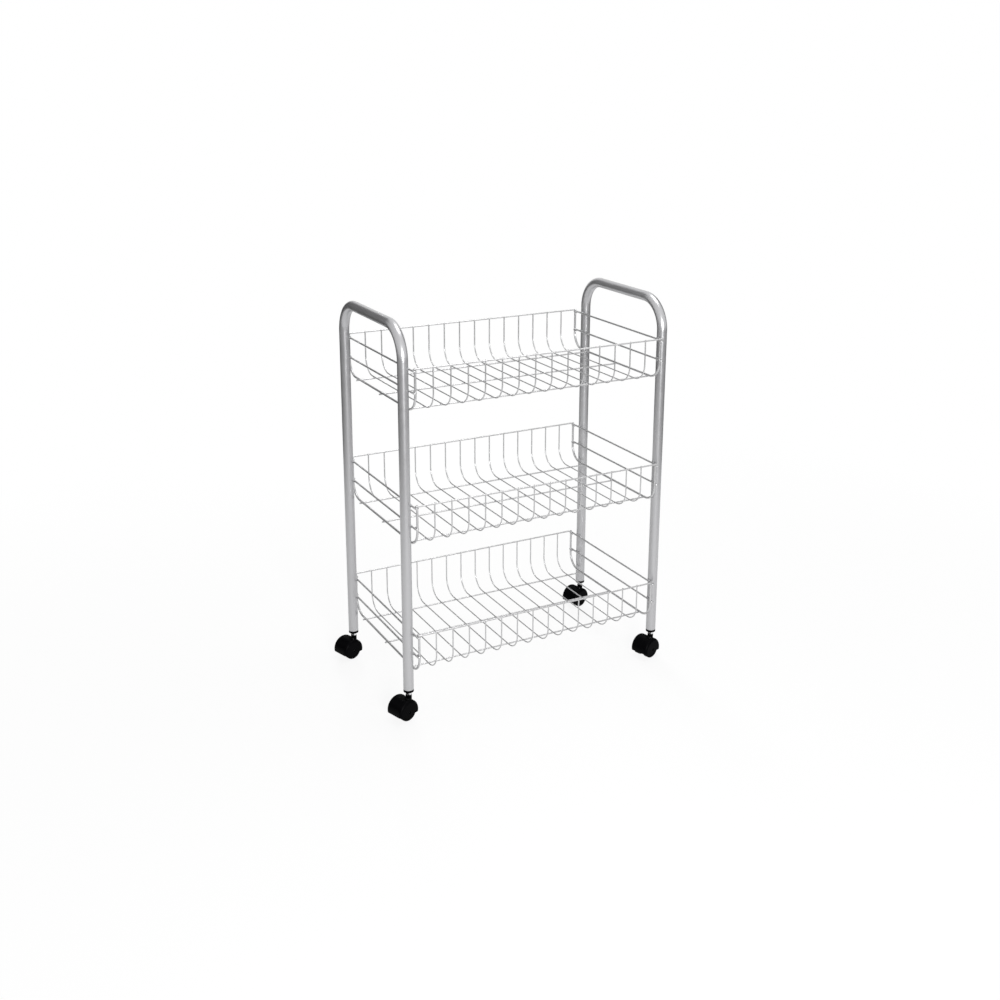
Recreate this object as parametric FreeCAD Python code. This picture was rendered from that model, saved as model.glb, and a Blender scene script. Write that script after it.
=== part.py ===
import FreeCAD, Part
import math
import os

# A rolling cart: two end frames of bent tube stand on swivel casters and carry three wire baskets.
# Lengths are in millimetres. +Z is up, the front faces -Y, and the origin lies on the floor
# under the middle of the cart.

# End frames: one tube each, bent to an upside-down U in the Y-Z plane
tube_diameter = 16.0
tube_wall = 1.2
frame_spacing = 448.0      # between the planes of the two end frames
leg_spacing = 229.0        # between the leg axes of one end frame
frame_height = 617.0       # top of the tube above the floor
tube_bend_radius = 48.0    # on the tube's axis

# Tiers: each end frame carries two rails for each basket
tier_names = ("lower", "middle", "upper")
lowest_tier_height = 134.6  # axis of the lowest basket's top rail above the floor
hand_gap = 68.0             # from the top of the tube down to the highest rail's axis
rail_drop = 32.4            # from a basket's top rail down to its second rail

# Rails: straight wires welded to the legs' inner faces, with hooks that hold the baskets
rail_diameter = 3.0
hook_return = 7.5           # straight end of a hook, past the upright that it holds
hook_clearance = 0.1
weld_gap = 0.05             # between wires that meet at a weld

# Baskets: U-shaped ribs inside, long wires welded along their outer faces
basket_overhang = 17.0      # top wire's axis past the legs' axes, at the front and at the back
end_rib_diameter = 3.5
cross_rib_diameter = 2.0
top_wire_diameter = 2.5
floor_wire_diameter = 2.5
cross_rib_count = 14
floor_wire_count = 3
floor_wire_inset = 8.0      # from the end of the ribs' bend to the outer floor wires
rib_bend_radius = 27.75     # on the ribs' outer faces
rail_above_bend = 4.1       # second rail's axis above the start of the bends
top_wire_clearance = 0.25   # between a top wire and the hooks under it
long_wire_overrun = 1.5     # long wires past the end ribs

# Casters: a hood with two wheels inside that trail behind the stem
caster_heading_degrees = 197.0  # direction in which the wheels trail, from +X towards +Y
wheel_trail = 12.2
wheel_diameter = 30.0
wheel_width = 9.3
wheel_gap = 10.0            # between the two wheels' inner faces
tread_round = 1.6
wheel_face_recess = 0.8
wheel_face_rim = 3.6        # rim left around the recess
wheel_boss_diameter = 9.0
wheel_boss_rise = 0.6
wheel_disc_wall = 1.6
wheel_rim_wall = 2.8
wheel_hub_wall = 2.8
axle_diameter = 4.0
axle_reach = 8.6            # into each wheel
web_side_clearance = 0.4    # hood's web to the wheels' inner faces
tread_clearance = 2.8       # hood to the wheels' treads
face_clearance = 0.8        # hood to the wheels' outer faces
hood_wall = 1.4
hood_round = 4.5            # along the hood's outer edges
hood_edge_height = 11.0     # hood's lower edge above the floor
stem_diameter = 6.0
stem_boss_wall = 1.75
stem_boss_rise = 1.8        # above the top of the hood
stem_boss_chamfer = 0.5
stem_boss_floor = 3.0
stem_seat_depth = 12.0      # in the hood
stem_reach = 18.0           # above the shoulder, in the socket
stem_end_gap = 0.5
shoulder_diameter = 9.0
shoulder_height = 3.0
swivel_gap = 0.3            # between the shoulder and the socket
socket_collar_height = 5.2
socket_collar_inset = 0.9   # collar's upper edge inside the tube's outline
socket_collar_wall = 1.5    # around the stem at the collar's lower edge
socket_top_wall = 2.0
fit_clearance = 0.05        # around pieces that are pressed in
running_clearance = 0.05    # around shafts that turn
bead_rise = 0.35            # snap beads on the axle and the stem
bead_width = 1.2
bead_place_share = 0.6      # along the reach of the axle or stem
cut_overrun = 1.0
least_run = 0.001           # shorter straight runs are left out of a path

tube_radius = tube_diameter / 2
tube_bore_radius = tube_radius - tube_wall
rail_radius = rail_diameter / 2
end_rib_radius = end_rib_diameter / 2
cross_rib_radius = cross_rib_diameter / 2
top_wire_radius = top_wire_diameter / 2
floor_wire_radius = floor_wire_diameter / 2
wheel_radius = wheel_diameter / 2
axle_radius = axle_diameter / 2
stem_radius = stem_diameter / 2

# Across the cart, from an end frame's plane inwards
frame_x = frame_spacing / 2
rail_x = frame_x - tube_radius - weld_gap - rail_radius
hook_radius = rail_radius + hook_clearance + end_rib_radius
end_rib_x = rail_x - hook_radius
hook_x = end_rib_x - hook_radius
cross_rib_pitch = 2 * end_rib_x / (cross_rib_count + 1)
long_wire_half = end_rib_x + end_rib_radius + long_wire_overrun

# From the middle of the cart to the front and to the back
leg_y = leg_spacing / 2
top_wire_y = leg_y + basket_overhang
rib_face_y = top_wire_y - top_wire_radius - weld_gap
end_rib_y = rib_face_y - end_rib_radius
floor_wire_y = rib_face_y - rib_bend_radius - floor_wire_inset

# Out and up a caster
web_half = wheel_gap / 2 - web_side_clearance
pocket_half = wheel_gap / 2 + wheel_width + face_clearance
pocket_radius = wheel_radius + tread_clearance
hood_half = pocket_half + hood_wall
hood_radius = pocket_radius + hood_wall
boss_top = wheel_radius + hood_radius + stem_boss_rise
shoulder_top = boss_top + shoulder_height
socket_bottom = shoulder_top + swivel_gap
tube_end_height = socket_bottom + socket_collar_height

# Up the frames
tube_top_axis = frame_height - tube_radius
tier_pitch = (frame_height - hand_gap - lowest_tier_height) / (len(tier_names) - 1)

sides = {"left": -1, "right": 1}
ends = {"front": -1, "back": 1}
up = FreeCAD.Vector(0, 0, 1)
along_x = FreeCAD.Vector(1, 0, 0)
along_y = FreeCAD.Vector(0, 1, 0)
origin = FreeCAD.Vector(0, 0, 0)


def bent_path(points, bend_radius):
    """Straight runs through the points, with a tangent arc at each inner point."""
    edges = []
    start = points[0]
    for before, corner, after in zip(points, points[1:], points[2:]):
        inbound = (corner - before).normalize()
        outbound = (after - corner).normalize()
        half_turn = inbound.getAngle(outbound) / 2
        setback = bend_radius * math.tan(half_turn)
        arc_start = corner - inbound * setback
        arc_end = corner + outbound * setback
        inward = (outbound - inbound).normalize()
        arc_middle = corner + inward * (bend_radius / math.cos(half_turn) - bend_radius)
        if start.distanceToPoint(arc_start) > least_run:
            edges.append(Part.LineSegment(start, arc_start).toShape())
        edges.append(Part.Arc(arc_start, arc_middle, arc_end).toShape())
        start = arc_end
    edges.append(Part.LineSegment(start, points[-1]).toShape())
    return Part.Wire(edges)


def bent_bar(points, bend_radius, bar_radius):
    """Round bar bent along the points."""
    section = Part.Wire(Part.makeCircle(bar_radius, points[0], points[1] - points[0]))
    return bent_path(points, bend_radius).makePipeShell([section], True, False)


def u_points(x, y, end_height, bend_height):
    """Corners of a U across the cart's depth, from its front end to its back end."""
    return [
        FreeCAD.Vector(x, -y, end_height),
        FreeCAD.Vector(x, -y, bend_height),
        FreeCAD.Vector(x, y, bend_height),
        FreeCAD.Vector(x, y, end_height),
    ]


def end_frame(x):
    points = u_points(x, leg_y, tube_end_height, tube_top_axis)
    outside = bent_bar(points, tube_bend_radius, tube_radius)
    bore = bent_bar(points, tube_bend_radius, tube_bore_radius)
    return outside.cut(bore)


def hook_rail(side, height):
    """Rail along a pair of legs, with a hook round the basket's upright at each end."""
    turn_y = end_rib_y + hook_radius
    return_y = end_rib_y - hook_return
    plan = [
        (hook_x, -return_y),
        (hook_x, -turn_y),
        (rail_x, -turn_y),
        (rail_x, turn_y),
        (hook_x, turn_y),
        (hook_x, return_y),
    ]
    points = [FreeCAD.Vector(side * x, y, height) for x, y in plan]
    return bent_bar(points, hook_radius, rail_radius)


def basket_rib(x, rib_radius, top_height, floor_face):
    """U-shaped rib whose outer faces lie on the basket's common faces."""
    points = u_points(x, rib_face_y - rib_radius, top_height, floor_face + rib_radius)
    return bent_bar(points, rib_bend_radius - rib_radius, rib_radius)


def long_wire(y, height, wire_radius):
    start = FreeCAD.Vector(-long_wire_half, y, height)
    return Part.makeCylinder(wire_radius, 2 * long_wire_half, start, along_x)


def basket(rail_height):
    """The wires of one basket, by name."""
    top_wire_height = rail_height + rail_radius + top_wire_clearance + top_wire_radius
    rib_top = top_wire_height + top_wire_radius
    floor_face = rail_height - rail_drop - rail_above_bend - rib_bend_radius
    floor_wire_height = floor_face - weld_gap - floor_wire_radius
    wires = {}
    for side_name, side in sides.items():
        wires[side_name + "_end_rib"] = basket_rib(side * end_rib_x, end_rib_radius, rib_top, floor_face)
    for end_name, end in ends.items():
        wires[end_name + "_top_wire"] = long_wire(end * top_wire_y, top_wire_height, top_wire_radius)
    floor_pitch = 2 * floor_wire_y / (floor_wire_count - 1)
    wires["floor_wires"] = Part.makeCompound([
        long_wire(index * floor_pitch - floor_wire_y, floor_wire_height, floor_wire_radius)
        for index in range(floor_wire_count)
    ])
    wires["cross_ribs"] = Part.makeCompound([
        basket_rib((index + 1) * cross_rib_pitch - end_rib_x, cross_rib_radius, rib_top, floor_face)
        for index in range(cross_rib_count)
    ])
    return wires


def outline_face(start, steps):
    """Face bounded by lines to points and by arcs, each given as a point on it and its end."""
    edges = []
    here = start
    for step in list(steps) + [start]:
        if isinstance(step, tuple):
            edges.append(Part.Arc(here, step[0], step[1]).toShape())
            here = step[1]
        else:
            edges.append(Part.LineSegment(here, step).toShape())
            here = step
    return Part.Face(Part.Wire(edges))


def upright_turning(outline):
    """Solid turned about the Z axis from (radius, height) points."""
    points = [FreeCAD.Vector(radius, 0, height) for radius, height in outline]
    return outline_face(points[0], points[1:]).revolve(origin, up, 360)


def caster_socket():
    """Plastic plug in the end of a leg, with a collar under the tube and a blind bore for the stem."""
    bore = stem_radius + running_clearance
    groove = bore + bead_rise
    bead_middle = shoulder_top + bead_place_share * stem_reach
    bore_end = shoulder_top + stem_reach + stem_end_gap
    plug_top = bore_end + socket_top_wall
    plug = tube_bore_radius - fit_clearance
    return upright_turning([
        (bore, socket_bottom),
        (bore + socket_collar_wall, socket_bottom),
        (tube_radius - socket_collar_inset, tube_end_height),
        (plug, tube_end_height),
        (plug, plug_top),
        (0, plug_top),
        (0, bore_end),
        (bore, bore_end),
        (bore, bead_middle + bead_width),
        (groove, bead_middle + bead_width / 2),
        (groove, bead_middle - bead_width / 2),
        (bore, bead_middle - bead_width),
    ])


def caster_stem():
    """Steel pin with a shoulder that carries the leg and a bead that snaps into the socket."""
    bead_middle = shoulder_top + bead_place_share * stem_reach
    bead = stem_radius + bead_rise
    shoulder = shoulder_diameter / 2
    foot = boss_top - stem_seat_depth
    return upright_turning([
        (0, foot),
        (stem_radius, foot),
        (stem_radius, boss_top),
        (shoulder, boss_top),
        (shoulder, shoulder_top),
        (stem_radius, shoulder_top),
        (stem_radius, bead_middle - bead_width),
        (bead, bead_middle - bead_width / 2),
        (bead, bead_middle + bead_width / 2),
        (stem_radius, bead_middle + bead_width),
        (stem_radius, shoulder_top + stem_reach),
        (0, shoulder_top + stem_reach),
    ])


def axle_turning(start, steps):
    """Solid turned about the axle from points whose Y runs along it and whose Z is the radius."""
    turned = outline_face(start, steps).revolve(origin, along_y, 360)
    turned.translate(FreeCAD.Vector(wheel_trail, 0, wheel_radius))
    return turned


def axle_point(along, radius):
    return FreeCAD.Vector(0, along, radius)


def half_turned(piece):
    """The same piece on the other end of the axle."""
    other = piece.copy()
    other.rotate(FreeCAD.Vector(wheel_trail, 0, 0), up, 180)
    return other


def rounded_corner(along, radius, corner_round):
    """Arc of an outline from a side face over to a round face, on the axle's front end."""
    middle_along = along - corner_round
    middle_radius = radius - corner_round
    diagonal = corner_round / math.sqrt(2)
    through = axle_point(middle_along + diagonal, middle_radius + diagonal)
    return (through, axle_point(middle_along, radius))


def caster_axle():
    """Steel pin through the hood's web, with a snap bead in each wheel."""
    inner_face = wheel_gap / 2
    tip = inner_face + axle_reach
    bead_middle = inner_face + bead_place_share * axle_reach
    half = [
        (bead_middle - bead_width, axle_radius),
        (bead_middle - bead_width / 2, axle_radius + bead_rise),
        (bead_middle + bead_width / 2, axle_radius + bead_rise),
        (bead_middle + bead_width, axle_radius),
        (tip, axle_radius),
        (tip, 0),
    ]
    points = [axle_point(-along, radius) for along, radius in reversed(half)]
    points += [axle_point(along, radius) for along, radius in half]
    return axle_turning(points[0], points[1:])


def caster_wheel():
    """Moulded wheel on the front end of the axle, hollow behind its disc."""
    inner = wheel_gap / 2
    outer = inner + wheel_width
    face = outer - wheel_face_recess
    disc_back = face - wheel_disc_wall
    bore = axle_radius + running_clearance
    groove = bore + bead_rise
    bead_middle = inner + bead_place_share * axle_reach
    boss = wheel_boss_diameter / 2
    shoulder = wheel_radius - tread_round
    diagonal = tread_round / math.sqrt(2)
    inner_through = axle_point(inner + tread_round - diagonal, shoulder + diagonal)
    rim_bore = wheel_radius - wheel_rim_wall
    hub = bore + wheel_hub_wall
    return axle_turning(axle_point(inner, bore), [
        axle_point(bead_middle - bead_width, bore),
        axle_point(bead_middle - bead_width / 2, groove),
        axle_point(bead_middle + bead_width / 2, groove),
        axle_point(bead_middle + bead_width, bore),
        axle_point(face + wheel_boss_rise, bore),
        axle_point(face + wheel_boss_rise, boss - wheel_boss_rise),
        axle_point(face, boss),
        axle_point(face, wheel_radius - wheel_face_rim),
        axle_point(outer, wheel_radius - wheel_face_rim + wheel_face_recess),
        axle_point(outer, shoulder),
        rounded_corner(outer, wheel_radius, tread_round),
        axle_point(inner + tread_round, wheel_radius),
        (inner_through, axle_point(inner, shoulder)),
        axle_point(inner, rim_bore),
        axle_point(disc_back, rim_bore),
        axle_point(disc_back, hub),
        axle_point(inner, hub),
    ])


def wheel_pocket():
    """Room for the front wheel inside the hood."""
    pocket_round = hood_round - hood_wall
    return axle_turning(axle_point(web_half, 0), [
        axle_point(pocket_half, 0),
        axle_point(pocket_half, pocket_radius - pocket_round),
        rounded_corner(pocket_half, pocket_radius, pocket_round),
        axle_point(web_half, pocket_radius),
    ])


def hood_drum():
    """Full round of the hood, before its lower part is cut away."""
    half = axle_turning(axle_point(0, 0), [
        axle_point(hood_half, 0),
        axle_point(hood_half, hood_radius - hood_round),
        rounded_corner(hood_half, hood_radius, hood_round),
        axle_point(0, hood_radius),
    ])
    return half.fuse(half_turned(half)).removeSplitter()


def caster_hood():
    """Rounded hood over both wheels, with a web between them that holds the axle and the stem.

    The axle goes in through the holes in the hood's sides.
    """
    reach = wheel_trail + hood_radius + cut_overrun
    below = Part.makeBox(2 * reach, 2 * reach, reach)
    below.translate(FreeCAD.Vector(-reach, -reach, hood_edge_height - reach))
    boss_radius = stem_radius + stem_boss_wall
    boss_bottom = boss_top - stem_seat_depth - stem_boss_floor
    boss = upright_turning([
        (0, boss_bottom),
        (boss_radius, boss_bottom),
        (boss_radius, boss_top - stem_boss_chamfer),
        (boss_radius - stem_boss_chamfer, boss_top),
        (0, boss_top),
    ])
    pocket = wheel_pocket()
    axle_foot = FreeCAD.Vector(wheel_trail, -hood_half, wheel_radius)
    axle_hole = Part.makeCylinder(axle_radius + fit_clearance, 2 * hood_half, axle_foot, along_y)
    seat_foot = FreeCAD.Vector(0, 0, boss_top - stem_seat_depth)
    seat = Part.makeCylinder(stem_radius + fit_clearance, stem_seat_depth + cut_overrun, seat_foot, up)
    hood = hood_drum().cut(below).fuse(boss)
    return hood.cut([pocket, half_turned(pocket), axle_hole, seat]).removeSplitter()


def caster():
    """The pieces of one caster, by name, with its stem on the Z axis and its wheels behind it on +X."""
    front_wheel = caster_wheel()
    return {
        "socket": caster_socket(),
        "stem": caster_stem(),
        "hood": caster_hood(),
        "axle": caster_axle(),
        "front_wheel": front_wheel,
        "back_wheel": half_turned(front_wheel),
    }


def cart():
    """Every piece of the cart, by name, in its place."""
    pieces = {}
    for side_name, side in sides.items():
        pieces[side_name + "_end_frame"] = end_frame(side * frame_x)
    for tier, tier_name in enumerate(tier_names):
        rail_height = lowest_tier_height + tier * tier_pitch
        for side_name, side in sides.items():
            rail_name = tier_name + "_" + side_name
            pieces[rail_name + "_top_rail"] = hook_rail(side, rail_height)
            pieces[rail_name + "_second_rail"] = hook_rail(side, rail_height - rail_drop)
        for wire_name, wire in basket(rail_height).items():
            pieces[tier_name + "_basket_" + wire_name] = wire
    for piece_name, piece in caster().items():
        piece.rotate(origin, up, caster_heading_degrees)
        for end_name, end in ends.items():
            for side_name, side in sides.items():
                placed = piece.copy()
                placed.translate(FreeCAD.Vector(side * frame_x, end * leg_y, 0))
                pieces[end_name + "_" + side_name + "_caster_" + piece_name] = placed
    return pieces


os.makedirs("parts", exist_ok=True)
for node, shape in cart().items():
    shape.exportStep("parts/" + node + ".step")
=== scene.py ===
import math

import bpy
from bpy.props import FloatProperty, FloatVectorProperty, IntProperty, PointerProperty
from mathutils import Matrix, Vector


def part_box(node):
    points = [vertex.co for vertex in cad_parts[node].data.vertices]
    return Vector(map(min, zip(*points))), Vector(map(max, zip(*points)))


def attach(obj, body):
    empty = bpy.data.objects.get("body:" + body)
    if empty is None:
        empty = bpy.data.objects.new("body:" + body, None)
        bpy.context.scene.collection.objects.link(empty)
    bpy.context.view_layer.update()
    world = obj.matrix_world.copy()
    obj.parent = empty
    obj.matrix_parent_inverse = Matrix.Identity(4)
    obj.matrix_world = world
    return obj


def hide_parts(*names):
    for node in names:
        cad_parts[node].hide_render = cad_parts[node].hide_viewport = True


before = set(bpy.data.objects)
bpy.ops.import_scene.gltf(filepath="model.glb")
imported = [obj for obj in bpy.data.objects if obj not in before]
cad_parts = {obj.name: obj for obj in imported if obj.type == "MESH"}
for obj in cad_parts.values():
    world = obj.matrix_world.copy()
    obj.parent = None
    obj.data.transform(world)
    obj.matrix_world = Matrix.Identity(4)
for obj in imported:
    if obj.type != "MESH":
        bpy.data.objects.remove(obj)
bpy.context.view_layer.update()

bl_info = {
    "name": "Rolling cart",
    "version": (1, 0, 0),
    "blender": (4, 5, 0),
    "location": "3D View > Sidebar > Rolling cart",
    "description": "Dresses a three-basket rolling cart: tubes, baskets, welds, casters and studio",
    "category": "Object",
}

TIERS = ("lower", "middle", "upper")
SIDES = {"left": -1, "right": 1}
ENDS = {"front": -1, "back": 1}
CORNERS = tuple(end + "_" + side for end in ENDS for side in SIDES)
UP = Vector((0, 0, 1))
ALONG_X = Vector((1, 0, 0))
ALONG_Y = Vector((0, 1, 0))


# Sizes and colours that a user may change


class CartSizes(bpy.types.PropertyGroup):
    """Sizes and counts of the visible pieces that the solids don't give."""

    tube_bend: FloatProperty(
        name="Tube bend", description="Bend radius on the axis of an end frame's tube",
        default=0.048, min=0.02, unit="LENGTH")
    tube_wall: FloatProperty(
        name="Tube wall", description="Wall of an end frame's tube",
        default=0.0012, min=0.0004, unit="LENGTH")
    tube_lip: FloatProperty(
        name="Tube lip", description="Chamfer round the open end of a tube",
        default=0.0003, min=0.0001, unit="LENGTH")
    bore_depth: FloatProperty(
        name="Bore depth", description="Depth of the bore that is modelled in a tube's open end",
        default=0.02, min=0.005, unit="LENGTH")
    collar_height: FloatProperty(
        name="Collar", description="Straight height of a socket's collar, under the tube's end",
        default=0.0036, min=0.0005, unit="LENGTH")
    collar_foot: FloatProperty(
        name="Collar foot", description="Radius of a socket's collar at its lower edge",
        default=0.0054, min=0.004, unit="LENGTH")
    socket_bore: FloatProperty(
        name="Socket bore", description="Radius of a socket's bore, which clears the stem's bead",
        default=0.00345, min=0.003, unit="LENGTH")
    socket_gap: FloatProperty(
        name="Socket gap", description="Room round a socket's plug and past the end of the stem",
        default=0.0002, min=0.00005, unit="LENGTH")
    rib_count: IntProperty(
        name="Cross ribs", description="Cross ribs in a basket", default=14, min=1)
    rib_bend: FloatProperty(
        name="Rib bend", description="Bend radius on the outer face of a basket's ribs",
        default=0.02775, min=0.01, unit="LENGTH")
    tube_sides: IntProperty(
        name="Tube sides", description="Sides of a tube's round section", default=64, min=12)
    rib_sides: IntProperty(
        name="Wire sides", description="Sides of a wire's round section", default=16, min=8)
    bend_steps: IntProperty(
        name="Bend steps", description="Steps of a quarter bend", default=16, min=4)
    hook_return: FloatProperty(
        name="Hook end", description="Straight end of a hook, past the upright that it holds",
        default=0.0075, min=0.0005, unit="LENGTH")
    tip_share: FloatProperty(
        name="Tip", description="Radius of a wire's cut end as a share of the wire's radius",
        default=0.72, min=0.1, max=1.0)
    spot_length: FloatProperty(
        name="Weld spot", description="Half length of a weld spot along the long wire",
        default=0.0017, min=0.0002, unit="LENGTH")
    spot_bulk: FloatProperty(
        name="Weld bulk", description="Half height of a weld spot as a share of the long wire's radius",
        default=0.95, min=0.1, max=1.0)
    spot_reach: FloatProperty(
        name="Weld reach", description="Half depth of a weld spot as a share of the long wire's radius",
        default=0.8, min=0.1, max=1.0)
    bead_half: FloatVectorProperty(
        name="Weld bead", description="Half sizes of a bead between a rail and a leg",
        subtype="XYZ", size=3, unit="LENGTH", default=(0.0013, 0.0034, 0.0012))


class CartFinishes(bpy.types.PropertyGroup):
    """Colours of the cart's finishes."""

    silver: FloatVectorProperty(
        name="Silver paint", description="Paint on the tubes of the end frames",
        subtype="COLOR", size=3, min=0, max=1, default=(0.47, 0.47, 0.48))
    wire: FloatVectorProperty(
        name="Wire paint", description="Paint on the baskets' wires",
        subtype="COLOR", size=3, min=0, max=1, default=(0.52, 0.52, 0.525))
    zinc: FloatVectorProperty(
        name="Zinc", description="Plating on the stems and axles",
        subtype="COLOR", size=3, min=0, max=1, default=(0.80, 0.80, 0.81))
    hood: FloatVectorProperty(
        name="Hood plastic", description="Black plastic of the hoods and sockets",
        subtype="COLOR", size=3, min=0, max=1, default=(0.0015, 0.0015, 0.0018))
    wheel: FloatVectorProperty(
        name="Wheel plastic", description="Black plastic of the wheels",
        subtype="COLOR", size=3, min=0, max=1, default=(0.0018, 0.0018, 0.002))
    floor: FloatVectorProperty(
        name="Floor", description="Pale studio floor, as it lights the cart",
        subtype="COLOR", size=3, min=0, max=1, default=(0.50, 0.50, 0.50))
    seen_floor: FloatVectorProperty(
        name="Seen floor", description="Pale studio floor, as the camera and reflections see it",
        subtype="COLOR", size=3, min=0, max=1, default=(0.92, 0.92, 0.92))


class CartStage(bpy.types.PropertyGroup):
    """Camera of the studio."""

    eye: FloatVectorProperty(
        name="Eye", description="Camera's place", subtype="XYZ", size=3, unit="LENGTH",
        default=(-0.907692, -1.696510, 0.983574))
    heading: FloatProperty(
        name="Heading", description="Camera's turn from +Y towards +X", subtype="ANGLE",
        default=math.radians(27.996))
    dip: FloatProperty(
        name="Dip", description="Camera's tilt below the horizon", subtype="ANGLE",
        default=math.radians(15.573))
    roll: FloatProperty(
        name="Roll", description="Camera's roll", subtype="ANGLE", default=math.radians(0.167))
    lens: FloatProperty(
        name="Lens", description="Focal length on a 36 mm frame", default=44.735, min=10)
    rise: FloatProperty(
        name="Rise", description="Upward shift of the lens, as a share of the frame", default=-0.1)


# Helpers for modelling


def clear_selection():
    if bpy.context.object and bpy.context.object.mode != "OBJECT":
        bpy.ops.object.mode_set(mode="OBJECT")
    bpy.ops.object.select_all(action="DESELECT")


def only(obj):
    clear_selection()
    obj.select_set(True)
    bpy.context.view_layer.objects.active = obj


def place_in_mesh(obj):
    only(obj)
    bpy.ops.object.transform_apply(location=True, rotation=True, scale=True)


class Bender:
    """A round section that is drawn along a path in edit mode, one run or bend at a time."""

    def __init__(self, name, start, direction, radius, sides, steps):
        clear_selection()
        turn = UP.rotation_difference(Vector(direction)).to_euler()
        bpy.ops.mesh.primitive_circle_add(
            vertices=sides, radius=radius, fill_type="NOTHING", location=start, rotation=turn)
        self.obj = bpy.context.object
        self.obj.name = name
        self.here = Vector(start)
        self.radius = radius
        self.steps = steps
        place_in_mesh(self.obj)
        bpy.ops.object.mode_set(mode="EDIT")
        bpy.ops.mesh.select_all(action="SELECT")

    def run_to(self, end):
        """A straight run to a point."""
        bpy.ops.mesh.extrude_region_move(TRANSFORM_OT_translate={"value": Vector(end) - self.here})
        self.here = Vector(end)

    def widen_to(self, radius):
        """A flat step to another radius, where the section stands."""
        bpy.ops.mesh.extrude_region_move(TRANSFORM_OT_translate={"value": (0, 0, 0)})
        self.resize_to(radius)

    def taper_to(self, end, radius):
        """A run to a point on which the radius changes."""
        self.run_to(end)
        self.resize_to(radius)

    def resize_to(self, radius):
        """Another radius for the section that was drawn last."""
        grow = radius / self.radius
        bpy.ops.transform.resize(value=(grow, grow, grow), center_override=self.here)
        self.radius = radius

    def bend(self, centre, axis, angle):
        """A bend about an axis through a centre."""
        steps = max(2, round(self.steps * abs(angle) / (math.pi / 2)))
        bpy.ops.mesh.spin(steps=steps, angle=-angle, center=centre, axis=axis)
        arm = self.here - Vector(centre)
        self.here = Vector(centre) + Matrix.Rotation(angle, 3, Vector(axis)) @ arm

    def close(self, smooth_degrees=40):
        """Fills the two ends and gives the finished piece."""
        bpy.ops.mesh.select_all(action="SELECT")
        bpy.ops.mesh.remove_doubles(threshold=1e-7)
        bpy.ops.mesh.fill_holes(sides=0)
        bpy.ops.mesh.select_all(action="SELECT")
        bpy.ops.mesh.normals_make_consistent(inside=False)
        bpy.ops.object.mode_set(mode="OBJECT")
        bpy.ops.object.shade_smooth_by_angle(angle=math.radians(smooth_degrees))
        return self.obj


def start_tip(name, start, direction, radius, sides, steps, tip_share):
    """A wire whose cut end has a small chamfer."""
    wire = Bender(name, start, direction, radius * tip_share, sides, steps)
    chamfer = radius * (1 - tip_share)
    wire.taper_to(wire.here + Vector(direction) * chamfer, radius)
    return wire


def end_tip(wire, end, direction, tip_share):
    """The last run of a wire and the chamfer of its other cut end."""
    chamfer = wire.radius * (1 - tip_share)
    wire.run_to(Vector(end) - Vector(direction) * chamfer)
    wire.taper_to(end, wire.radius * tip_share)
    return wire.close()


def moved_copy(obj, name, offset):
    """A copy with its own mesh."""
    copy = obj.copy()
    copy.data = obj.data.copy()
    copy.name = name
    copy.data.transform(Matrix.Translation(offset))
    bpy.context.scene.collection.objects.link(copy)
    return copy


def joined(objs, name):
    clear_selection()
    for obj in objs:
        obj.select_set(True)
    bpy.context.view_layer.objects.active = objs[0]
    bpy.ops.object.join()
    obj = bpy.context.object
    obj.name = name
    return obj


def middle(box):
    return (box[0] + box[1]) / 2


def dress(obj, body, slot, material, *nodes):
    """Paints a piece, rides it on its body and lets it stand for its solids."""
    obj.data.materials.clear()
    obj.data.materials.append(material)
    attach(obj, body)
    if nodes:
        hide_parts(*nodes)


# Finishes


def fine_speckle():
    """Group that gives a fine grain and a broad mottle over a surface, each from 0 to 1."""
    group = bpy.data.node_groups.get("fine_speckle")
    if group:
        return group
    group = bpy.data.node_groups.new("fine_speckle", "ShaderNodeTree")
    face = group.interface
    face.new_socket("Grain size", in_out="INPUT", socket_type="NodeSocketFloat")
    face.new_socket("Mottle size", in_out="INPUT", socket_type="NodeSocketFloat")
    face.new_socket("Grain", in_out="OUTPUT", socket_type="NodeSocketFloat")
    face.new_socket("Mottle", in_out="OUTPUT", socket_type="NodeSocketFloat")
    enter = group.nodes.new("NodeGroupInput")
    leave = group.nodes.new("NodeGroupOutput")
    place = group.nodes.new("ShaderNodeTexCoord")
    for socket, out, detail in (("Grain size", "Grain", 2), ("Mottle size", "Mottle", 4)):
        noise = group.nodes.new("ShaderNodeTexNoise")
        noise.inputs["Detail"].default_value = detail
        group.links.new(place.outputs["Object"], noise.inputs["Vector"])
        group.links.new(enter.outputs[socket], noise.inputs["Scale"])
        group.links.new(noise.outputs["Fac"], leave.inputs[out])
    return group


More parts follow.
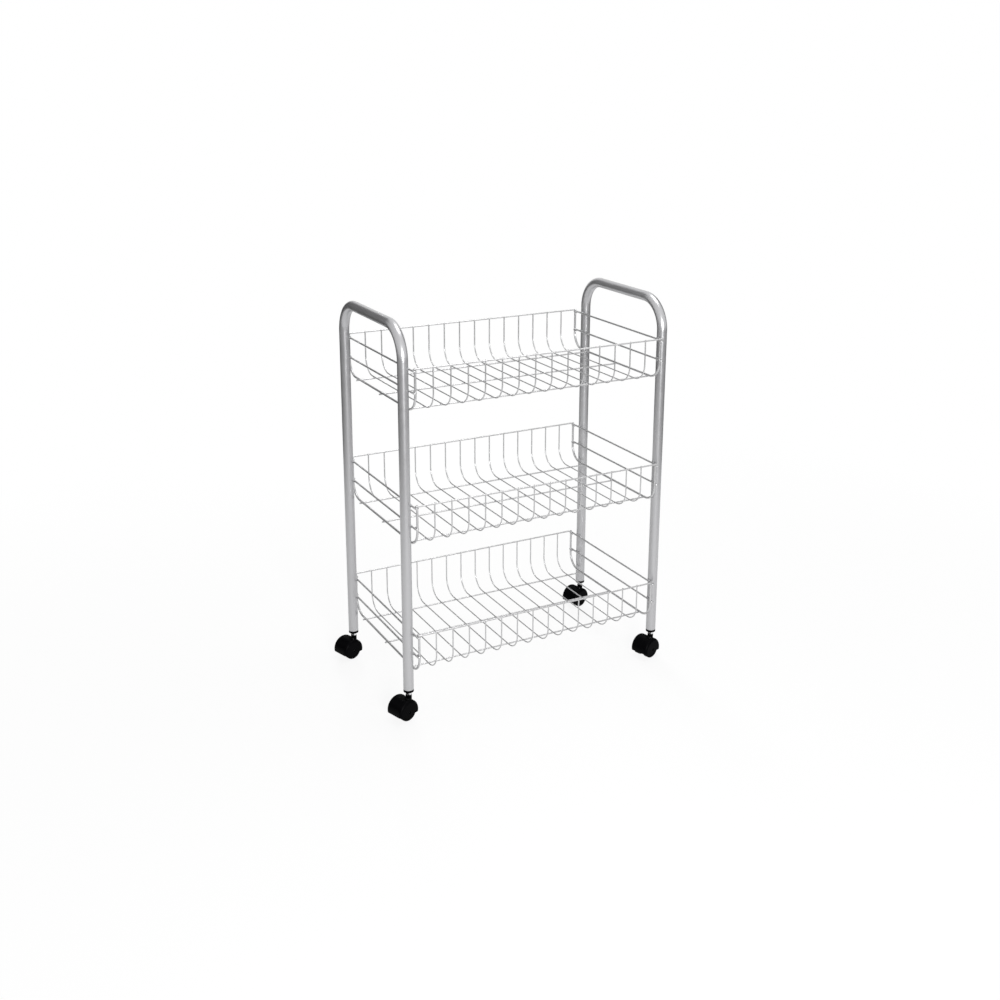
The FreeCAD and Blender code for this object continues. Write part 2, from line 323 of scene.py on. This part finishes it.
def finish(name, colour, metallic, specular, roughness, roughness_swing,
           grain_size, mottle_size, shade_swing, bump):
    """Material whose colour, roughness and relief vary a little over the surface."""
    material = bpy.data.materials.get(name)
    if material:
        return material
    material = bpy.data.materials.new(name)
    material.use_nodes = True
    nodes = material.node_tree.nodes
    link = material.node_tree.links.new
    shader = nodes["Principled BSDF"]
    shader.inputs["Metallic"].default_value = metallic
    shader.inputs["Specular IOR Level"].default_value = specular
    speckle = nodes.new("ShaderNodeGroup")
    speckle.node_tree = fine_speckle()
    speckle.inputs["Grain size"].default_value = grain_size
    speckle.inputs["Mottle size"].default_value = mottle_size
    shade = nodes.new("ShaderNodeMix")
    shade.data_type = "RGBA"
    shade.inputs["A"].default_value = (*[c * (1 - shade_swing) for c in colour], 1)
    shade.inputs["B"].default_value = (*[min(1, c * (1 + shade_swing)) for c in colour], 1)
    link(speckle.outputs["Grain"], shade.inputs["Factor"])
    link(shade.outputs["Result"], shader.inputs["Base Color"])
    gloss = nodes.new("ShaderNodeMapRange")
    gloss.inputs["To Min"].default_value = roughness - roughness_swing
    gloss.inputs["To Max"].default_value = roughness + roughness_swing
    link(speckle.outputs["Mottle"], gloss.inputs["Value"])
    link(gloss.outputs["Result"], shader.inputs["Roughness"])
    relief = nodes.new("ShaderNodeBump")
    relief.inputs["Strength"].default_value = bump
    relief.inputs["Distance"].default_value = 0.0001
    link(speckle.outputs["Grain"], relief.inputs["Height"])
    link(relief.outputs["Normal"], shader.inputs["Normal"])
    return material


def tube_paint():
    colours = bpy.context.scene.cart_finishes
    return finish(
        "tube_silver_paint", colours.silver, metallic=0.60, specular=0.35, roughness=0.30,
        roughness_swing=0.05, grain_size=2600, mottle_size=60,
        shade_swing=0.05, bump=0.05)


def wire_paint():
    colours = bpy.context.scene.cart_finishes
    return finish(
        "wire_silver_paint", colours.wire, metallic=0.60, specular=0.35, roughness=0.30,
        roughness_swing=0.06, grain_size=2600, mottle_size=90,
        shade_swing=0.06, bump=0.05)


def zinc_plate():
    colours = bpy.context.scene.cart_finishes
    return finish(
        "pin_zinc_plate", colours.zinc, metallic=1.0, specular=0.5, roughness=0.26,
        roughness_swing=0.08, grain_size=1800, mottle_size=300,
        shade_swing=0.04, bump=0.06)


def hood_plastic():
    colours = bpy.context.scene.cart_finishes
    return finish(
        "hood_black_plastic", colours.hood, metallic=0.0, specular=0.02, roughness=0.40,
        roughness_swing=0.08, grain_size=1500, mottle_size=120,
        shade_swing=0.25, bump=0.12)


def wheel_plastic():
    colours = bpy.context.scene.cart_finishes
    return finish(
        "wheel_black_plastic", colours.wheel, metallic=0.0, specular=0.02, roughness=0.46,
        roughness_swing=0.10, grain_size=1500, mottle_size=120,
        shade_swing=0.25, bump=0.12)


# Pieces


class CART_OT_end_frames(bpy.types.Operator):
    """Bends the two tubes of the end frames"""

    bl_idname = "cart.end_frames"
    bl_label = "End frames"

    def execute(self, context):
        sizes = context.scene.cart_sizes
        low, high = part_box("left_end_frame")
        radius = (high.x - low.x) / 2
        bore = radius - sizes.tube_wall
        lip = sizes.tube_lip
        x = (low.x + high.x) / 2
        leg = high.y - radius
        top = high.z - radius
        bend = sizes.tube_bend
        depth = sizes.bore_depth
        start = (x, -leg, low.z + depth)
        tube = Bender("left_end_tube", start, UP, bore, sizes.tube_sides, sizes.bend_steps * 2)
        tube.run_to((x, -leg, low.z))
        tube.widen_to(radius - lip)
        tube.taper_to((x, -leg, low.z + lip), radius)
        tube.run_to((x, -leg, top - bend))
        tube.bend((x, bend - leg, top - bend), ALONG_X, -math.pi / 2)
        tube.run_to((x, leg - bend, top))
        tube.bend((x, leg - bend, top - bend), ALONG_X, -math.pi / 2)
        tube.run_to((x, leg, low.z + lip))
        tube.taper_to((x, leg, low.z), radius - lip)
        tube.widen_to(bore)
        tube.run_to((x, leg, low.z + depth))
        left = tube.close(30)
        right = moved_copy(left, "right_end_tube", (-2 * x, 0, 0))
        for side, obj in (("left", left), ("right", right)):
            dress(obj, "frame", "tube_silver", tube_paint(), side + "_end_frame")
        return {"FINISHED"}


class CART_OT_hook_rails(bpy.types.Operator):
    """Bends the rails and the hooks at their ends"""

    bl_idname = "cart.hook_rails"
    bl_label = "Hook rails"

    def execute(self, context):
        sizes = context.scene.cart_sizes
        for side_name, side in SIDES.items():
            first = TIERS[0] + "_" + side_name + "_top_rail"
            low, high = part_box(first)
            radius = (high.z - low.z) / 2
            height = middle((low, high)).z
            hook = (high.x - low.x) / 4 - radius / 2
            rail_x = side * (max(abs(low.x), abs(high.x)) - radius)
            held_x = rail_x - side * hook
            return_x = held_x - side * hook
            held_y = high.y - radius - hook
            return_y = held_y - sizes.hook_return
            wire = start_tip("rail", (return_x, -return_y, height), -ALONG_Y, radius,
                             sizes.rib_sides, sizes.bend_steps, sizes.tip_share)
            wire.run_to((return_x, -held_y, height))
            wire.bend((held_x, -held_y, height), UP, side * math.pi)
            wire.run_to((rail_x, held_y, height))
            wire.bend((held_x, held_y, height), UP, side * math.pi)
            model = end_tip(wire, (return_x, return_y, height), -ALONG_Y, sizes.tip_share)
            for tier in TIERS:
                for level in ("top", "second"):
                    node = tier + "_" + side_name + "_" + level + "_rail"
                    lift = middle(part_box(node)).z - height
                    rail = moved_copy(model, node + "_wire", (0, 0, lift))
                    dress(rail, "frame", "wire_silver", wire_paint(), node)
            bpy.data.objects.remove(model)
        return {"FINISHED"}


def bent_rib(name, low, high, x, radius, sizes):
    """A basket rib between the faces that its solid gives."""
    bend = sizes.rib_bend - radius
    y = high.y - radius
    floor = low.z + radius
    wire = start_tip(name, (x, -y, high.z), -UP, radius,
                     sizes.rib_sides, sizes.bend_steps, sizes.tip_share)
    wire.run_to((x, -y, floor + bend))
    wire.bend((x, bend - y, floor + bend), ALONG_X, math.pi / 2)
    wire.run_to((x, y - bend, floor))
    wire.bend((x, y - bend, floor + bend), ALONG_X, math.pi / 2)
    return end_tip(wire, (x, y, high.z), UP, sizes.tip_share)


class CART_OT_basket_ribs(bpy.types.Operator):
    """Bends the end ribs and the cross ribs of the baskets"""

    bl_idname = "cart.basket_ribs"
    bl_label = "Basket ribs"

    def execute(self, context):
        sizes = context.scene.cart_sizes
        lowest = TIERS[0] + "_basket_"
        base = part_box(lowest + "left_end_rib")
        end_radius = (base[1].x - base[0].x) / 2
        end_x = middle(base).x
        end_model = bent_rib("end_rib", *base, end_x, end_radius, sizes)
        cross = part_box(lowest + "cross_ribs")
        pitch = -2 * end_x / (sizes.rib_count + 1)
        radius = (cross[1].x - cross[0].x) / 2 - pitch * (sizes.rib_count - 1) / 2
        cross_model = bent_rib("cross_rib", *cross, 0.0, radius, sizes)
        for tier in TIERS:
            prefix = tier + "_basket_"
            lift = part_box(prefix + "left_end_rib")[0].z - base[0].z
            for side_name in SIDES:
                node = prefix + side_name + "_end_rib"
                rib = moved_copy(end_model, node + "_wire", (middle(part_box(node)).x - end_x, 0, lift))
                dress(rib, "frame", "wire_silver", wire_paint(), node)
            ribs = [
                moved_copy(cross_model, "cross_rib", (end_x + pitch * (index + 1), 0, lift))
                for index in range(sizes.rib_count)
            ]
            node = prefix + "cross_ribs"
            dress(joined(ribs, node + "_wire"), "frame", "wire_silver", wire_paint(), node)
        bpy.data.objects.remove(end_model)
        bpy.data.objects.remove(cross_model)
        return {"FINISHED"}


class CART_OT_long_wires(bpy.types.Operator):
    """Draws the top wires and the floor wires of the baskets"""

    bl_idname = "cart.long_wires"
    bl_label = "Long wires"

    def execute(self, context):
        sizes = context.scene.cart_sizes
        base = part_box(TIERS[0] + "_basket_front_top_wire")
        radius = (base[1].z - base[0].z) / 2
        half = base[1].x
        wire = start_tip("long_wire", (-half, 0, 0), ALONG_X, radius,
                         sizes.rib_sides, sizes.bend_steps, sizes.tip_share)
        model = end_tip(wire, (half, 0, 0), ALONG_X, sizes.tip_share)
        for tier in TIERS:
            for end_name in ENDS:
                node = tier + "_basket_" + end_name + "_top_wire"
                top = moved_copy(model, node + "_wire", (0, *middle(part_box(node)).yz))
                dress(top, "frame", "wire_silver", wire_paint(), node)
            node = tier + "_basket_floor_wires"
            low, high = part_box(node)
            height = (low.z + high.z) / 2
            reach = high.y - radius
            runs = [moved_copy(model, "floor_wire", (0, y, height)) for y in (-reach, 0.0, reach)]
            dress(joined(runs, node + "_wire"), "frame", "wire_silver", wire_paint(), node)
        bpy.data.objects.remove(model)
        return {"FINISHED"}


def weld_blob(name, half_sizes):
    """A small rounded blob about the origin."""
    clear_selection()
    bpy.ops.mesh.primitive_ico_sphere_add(subdivisions=2, radius=1.0, location=(0, 0, 0))
    blob = bpy.context.object
    blob.name = name
    blob.scale = half_sizes
    place_in_mesh(blob)
    bpy.ops.object.shade_smooth()
    return blob


class CART_OT_weld_spots(bpy.types.Operator):
    """Adds the spot welds where the baskets' wires cross and the beads between rails and legs"""

    bl_idname = "cart.weld_spots"
    bl_label = "Weld spots"

    def execute(self, context):
        sizes = context.scene.cart_sizes
        for tier in TIERS:
            prefix = tier + "_basket_"
            end_x = middle(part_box(prefix + "right_end_rib")).x
            pitch = 2 * end_x / (sizes.rib_count + 1)
            columns = [index * pitch - end_x for index in range(sizes.rib_count + 2)]
            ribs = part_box(prefix + "cross_ribs")
            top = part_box(prefix + "front_top_wire")
            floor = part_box(prefix + "floor_wires")
            wire = (top[1].z - top[0].z) / 2
            bulk = wire * sizes.spot_bulk
            reach_in = wire * sizes.spot_reach
            blob = weld_blob("spot", (sizes.spot_length, reach_in, bulk))
            spots = []
            for x in columns:
                for end in ENDS.values():
                    spots.append(moved_copy(blob, "spot", (x, end * ribs[1].y, middle(top).z)))
            flat = weld_blob("spot", (sizes.spot_length, bulk, reach_in))
            reach = floor[1].y - wire
            for x in columns:
                for y in (-reach, 0.0, reach):
                    spots.append(moved_copy(flat, "spot", (x, y, floor[1].z)))
            bpy.data.objects.remove(blob)
            bpy.data.objects.remove(flat)
            dress(joined(spots, prefix + "weld_spots"), "frame", "wire_silver", wire_paint())
        self.rail_beads(sizes)
        return {"FINISHED"}

    def rail_beads(self, sizes):
        for side_name, side in SIDES.items():
            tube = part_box(side_name + "_end_frame")
            leg = tube[1].y - (tube[1].x - tube[0].x) / 2
            face = middle(tube).x - side * (tube[1].x - tube[0].x) / 2
            blob = weld_blob("bead", sizes.bead_half)
            beads = []
            for tier in TIERS:
                for level in ("top", "second"):
                    low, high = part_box(tier + "_" + side_name + "_" + level + "_rail")
                    for end in ENDS.values():
                        for edge in (low.z, high.z):
                            beads.append(moved_copy(blob, "bead", (face, end * leg, edge)))
            bpy.data.objects.remove(blob)
            dress(joined(beads, side_name + "_rail_beads"), "frame", "tube_silver", tube_paint())


class CART_OT_sockets(bpy.types.Operator):
    """Turns the sockets in the legs, each with a collar as wide as the tube"""

    bl_idname = "cart.sockets"
    bl_label = "Sockets"

    def execute(self, context):
        sizes = context.scene.cart_sizes
        tube_low, tube_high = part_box("left_end_frame")
        outside = (tube_high.x - tube_low.x) / 2
        tube_end = tube_low.z
        for corner in CORNERS:
            node = corner + "_caster_socket"
            low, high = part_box(node)
            x, y = middle((low, high)).xy
            bore_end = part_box(corner + "_caster_stem")[1].z + sizes.socket_gap
            socket = Bender(node + "_plug", (x, y, bore_end), -UP, sizes.socket_bore,
                            sizes.tube_sides, sizes.bend_steps)
            socket.run_to((x, y, low.z))
            socket.widen_to(sizes.collar_foot)
            socket.taper_to((x, y, tube_end - sizes.collar_height), outside)
            socket.run_to((x, y, tube_end))
            socket.widen_to(outside - sizes.tube_wall - sizes.socket_gap)
            socket.run_to((x, y, high.z))
            dress(socket.close(30), "frame", "hood_black", hood_plastic(), node)
        return {"FINISHED"}


class CART_OT_casters(bpy.types.Operator):
    """Finishes the sockets, stems, hoods, axles and wheels of the casters"""

    bl_idname = "cart.casters"
    bl_label = "Casters"

    def execute(self, context):
        finishes = {
            "socket": ("hood_black", hood_plastic()),
            "stem": ("pin_steel", zinc_plate()),
            "hood": ("hood_black", hood_plastic()),
            "axle": ("pin_steel", zinc_plate()),
            "front_wheel": ("wheel_black", wheel_plastic()),
            "back_wheel": ("wheel_black", wheel_plastic()),
        }
        for corner in CORNERS:
            for piece, (slot, material) in finishes.items():
                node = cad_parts[corner + "_caster_" + piece]
                node.data.materials.clear()
                node.data.materials.append(material)
        return {"FINISHED"}


# Studio

# name, place, width, power, and whether the lamp itself is seen in reflections
LAMPS = (
    ("key_light", (-0.6, -2.4, 0.9), 0.9, 62, True),
    ("top_light", (0.5, 0.1, 2.5), 1.2, 26, True),
    ("back_light", (0.6, 2.4, 0.9), 0.9, 40, False),
)
# name, place, width and height
FLAGS = (
    ("left_flag", (-0.66, 1.56, 1.0), 1.2, 2.2),
    ("right_flag", (1.65, 0.37, 1.0), 1.2, 2.2),
)
# name, radius and height
RING = ("floor_ring", 1.25, 0.5)
AIM_AT = (0, 0, 0.32)


def aim(obj, target):
    obj.rotation_euler = (Vector(target) - obj.location).to_track_quat("-Z", "Y").to_euler()


def soft_light(name, place, size, power, seen):
    clear_selection()
    bpy.ops.object.light_add(type="AREA", location=place)
    lamp = bpy.context.object
    lamp.name = name
    lamp.data.shape = "DISK"
    lamp.data.size = size
    lamp.data.energy = power
    lamp.visible_glossy = seen
    aim(lamp, AIM_AT)


def dark_flag(name, place, width, height):
    """A tall dark panel beside the background."""
    clear_selection()
    bpy.ops.mesh.primitive_plane_add(size=1, location=place)
    bpy.context.object.scale = (width, height, 1)
    aim(bpy.context.object, (0, 0, place[2]))
    only_reflected(bpy.context.object, name)


def dark_ring(name, radius, height):
    """A low dark ring where the white floor ends."""
    clear_selection()
    bpy.ops.mesh.primitive_cylinder_add(
        vertices=64, radius=radius, depth=height, end_fill_type="NOTHING", location=(0, 0, height / 2))
    only_reflected(bpy.context.object, name)


def only_reflected(flag, name):
    """Makes a studio piece dark, and seen in reflections alone."""
    flag.name = name
    material = bpy.data.materials.get("flag_cloth") or bpy.data.materials.new("flag_cloth")
    material.use_nodes = True
    cloth = material.node_tree.nodes["Principled BSDF"]
    cloth.inputs["Base Color"].default_value = (0.02, 0.02, 0.02, 1)
    cloth.inputs["Roughness"].default_value = 1.0
    flag.data.materials.append(material)
    flag.visible_camera = False
    flag.visible_diffuse = False
    flag.visible_shadow = False


def seen_rays(nodes, link):
    """Value of 1 for camera, glossy and transmission rays."""
    path = nodes.new("ShaderNodeLightPath")
    first = nodes.new("ShaderNodeMath")
    first.operation = "MAXIMUM"
    second = nodes.new("ShaderNodeMath")
    second.operation = "MAXIMUM"
    link(path.outputs["Is Camera Ray"], first.inputs[0])
    link(path.outputs["Is Glossy Ray"], first.inputs[1])
    link(first.outputs["Value"], second.inputs[0])
    link(path.outputs["Is Transmission Ray"], second.inputs[1])
    return second.outputs["Value"]


class CART_OT_stage(bpy.types.Operator):
    """Sets up the pale floor, the soft lights, the white surroundings and the camera"""

    bl_idname = "cart.stage"
    bl_label = "Studio"

    def execute(self, context):
        self.floor(context)
        self.surroundings(context)
        for lamp in LAMPS:
            soft_light(*lamp)
        for flag in FLAGS:
            dark_flag(*flag)
        dark_ring(*RING)
        self.camera(context)
        context.scene.view_settings.view_transform = "Standard"
        return {"FINISHED"}

    def floor(self, context):
        clear_selection()
        bpy.ops.mesh.primitive_plane_add(size=12, location=(0, 0, -0.0002))
        floor = context.object
        floor.name = "studio_floor"
        material = bpy.data.materials.new("studio_floor_white")
        material.use_nodes = True
        nodes = material.node_tree.nodes
        link = material.node_tree.links.new
        matte = nodes["Principled BSDF"]
        matte.inputs["Roughness"].default_value = 0.9
        colours = context.scene.cart_finishes
        seen = seen_rays(nodes, link)
        shade = nodes.new("ShaderNodeMix")
        shade.data_type = "RGBA"
        shade.inputs["A"].default_value = (*colours.floor, 1)
        shade.inputs["B"].default_value = (*colours.seen_floor, 1)
        link(seen, shade.inputs["Factor"])
        link(shade.outputs["Result"], matte.inputs["Base Color"])
        glow = nodes.new("ShaderNodeEmission")
        glow.inputs["Color"].default_value = (1, 1, 1, 1)
        glow.inputs["Strength"].default_value = 1.0
        place = nodes.new("ShaderNodeTexCoord")
        away = nodes.new("ShaderNodeVectorMath")
        away.operation = "LENGTH"
        link(place.outputs["Object"], away.inputs[0])
        fade = nodes.new("ShaderNodeMapRange")
        for socket, value in (("From Min", 0.5), ("From Max", 1.4), ("To Min", 0.88), ("To Max", 1.0)):
            fade.inputs[socket].default_value = value
        link(away.outputs["Value"], fade.inputs["Value"])
        share = nodes.new("ShaderNodeMath")
        share.operation = "MULTIPLY"
        link(fade.outputs["Result"], share.inputs[1])
        link(seen, share.inputs[0])
        blend = nodes.new("ShaderNodeMixShader")
        link(share.outputs["Value"], blend.inputs[0])
        link(matte.outputs["BSDF"], blend.inputs[1])
        link(glow.outputs["Emission"], blend.inputs[2])
        link(blend.outputs["Shader"], nodes["Material Output"].inputs["Surface"])
        floor.data.materials.append(material)

    def surroundings(self, context):
        world = context.scene.world or bpy.data.worlds.new("studio")
        context.scene.world = world
        world.use_nodes = True
        nodes = world.node_tree.nodes
        link = world.node_tree.links.new
        nodes.clear()
        light = nodes.new("ShaderNodeBackground")
        light.inputs["Strength"].default_value = 0.15
        seen = nodes.new("ShaderNodeBackground")
        seen.inputs["Strength"].default_value = 1.0
        for sky in (light, seen):
            sky.inputs["Color"].default_value = (1, 1, 1, 1)
        blend = nodes.new("ShaderNodeMixShader")
        link(seen_rays(nodes, link), blend.inputs[0])
        link(light.outputs["Background"], blend.inputs[1])
        link(seen.outputs["Background"], blend.inputs[2])
        leave = nodes.new("ShaderNodeOutputWorld")
        link(blend.outputs["Shader"], leave.inputs["Surface"])

    def camera(self, context):
        stage = context.scene.cart_stage
        clear_selection()
        bpy.ops.object.camera_add(location=stage.eye)
        camera = context.object
        camera.name = "studio_camera"
        turn = Matrix.Rotation(-stage.heading, 4, "Z")
        turn @= Matrix.Rotation(math.pi / 2 - stage.dip, 4, "X")
        turn @= Matrix.Rotation(stage.roll, 4, "Z")
        camera.rotation_euler = turn.to_euler()
        camera.data.sensor_width = 36
        camera.data.lens = stage.lens
        camera.data.shift_y = stage.rise
        camera.data.clip_end = 50
        context.scene.camera = camera


class CART_PT_panel(bpy.types.Panel):
    """Lists the steps that dress the cart"""

    bl_idname = "CART_PT_panel"
    bl_label = "Rolling cart"
    bl_space_type = "VIEW_3D"
    bl_region_type = "UI"
    bl_category = "Rolling cart"

    def draw(self, context):
        column = self.layout.column()
        for step in STEPS:
            column.operator(step.bl_idname)
        for group in (context.scene.cart_sizes, context.scene.cart_finishes, context.scene.cart_stage):
            for prop in group.bl_rna.properties.keys():
                if prop not in ("name", "rna_type"):
                    column.prop(group, prop)


STEPS = (
    CART_OT_end_frames,
    CART_OT_hook_rails,
    CART_OT_basket_ribs,
    CART_OT_long_wires,
    CART_OT_weld_spots,
    CART_OT_sockets,
    CART_OT_casters,
    CART_OT_stage,
)
CLASSES = (CartSizes, CartFinishes, CartStage, *STEPS, CART_PT_panel)


def register():
    for cls in CLASSES:
        bpy.utils.register_class(cls)
    bpy.types.Scene.cart_sizes = PointerProperty(type=CartSizes)
    bpy.types.Scene.cart_finishes = PointerProperty(type=CartFinishes)
    bpy.types.Scene.cart_stage = PointerProperty(type=CartStage)


def unregister():
    del bpy.types.Scene.cart_stage
    del bpy.types.Scene.cart_finishes
    del bpy.types.Scene.cart_sizes
    for cls in reversed(CLASSES):
        bpy.utils.unregister_class(cls)


def main():
    register()
    for step in STEPS:
        group, name = step.bl_idname.split(".")
        getattr(getattr(bpy.ops, group), name)()


if __name__ == "__main__":
    main()
